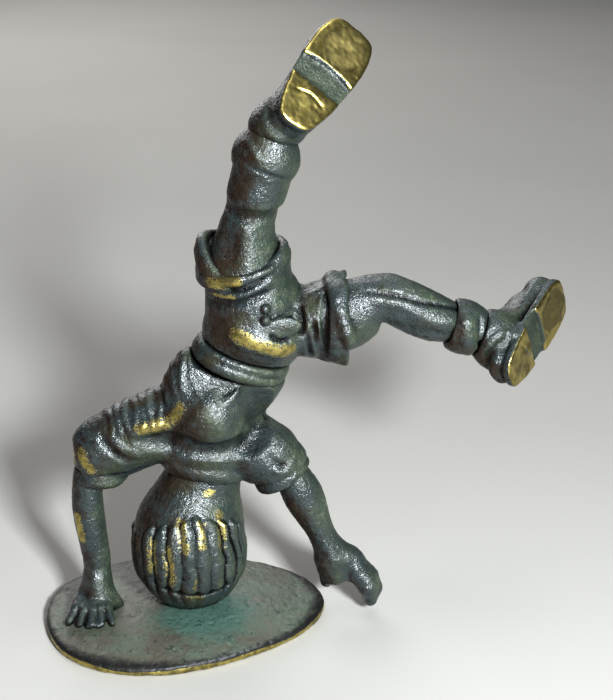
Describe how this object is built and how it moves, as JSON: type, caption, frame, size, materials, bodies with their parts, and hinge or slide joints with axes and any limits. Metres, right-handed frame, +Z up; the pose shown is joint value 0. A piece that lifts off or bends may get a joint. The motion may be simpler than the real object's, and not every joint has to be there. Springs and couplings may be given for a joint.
{
  "type": "figurine",
  "caption": "Small cast figurine of a child turning a cartwheel, head and one hand on an oval plate, built from brazed castings located by dowels.",
  "frame": {"origin": "centre of the oval plate's flat underside", "axes": "+Z up, +X along the plate's long axis towards the outstretched left leg, -Y the side that the child's back faces"},
  "size_m": [0.063, 0.0258, 0.0723],
  "materials": {
    "patinated_bronze": "brown-black glossy patina with green in the hollows, rubbed to bare metal on the high spots",
    "green_patina": "matt grey-green patina with dark specks, bare ground rim",
    "bare_brass": "drawn rod, unfinished"
  },
  "bodies": {
    "root": {"base_plate": "green_patina", "head": "patinated_bronze", "torso": "patinated_bronze", "waistband": "patinated_bronze", "shorts": "patinated_bronze", "right_forearm": "patinated_bronze", "left_forearm": "patinated_bronze", "right_leg": "patinated_bronze", "left_leg": "patinated_bronze", "right_sock": "patinated_bronze", "left_sock": "patinated_bronze", "right_shoe": "patinated_bronze", "left_shoe": "patinated_bronze", "crown_dowel": "bare_brass", "hand_dowel": "bare_brass", "neck_dowel": "bare_brass", "right_elbow_dowel": "bare_brass", "left_elbow_dowel": "bare_brass", "waist_dowel": "bare_brass", "right_thigh_dowel": "bare_brass", "left_thigh_dowel": "bare_brass", "right_ankle_dowel": "bare_brass", "left_ankle_dowel": "bare_brass"}
  },
  "joints": []
}
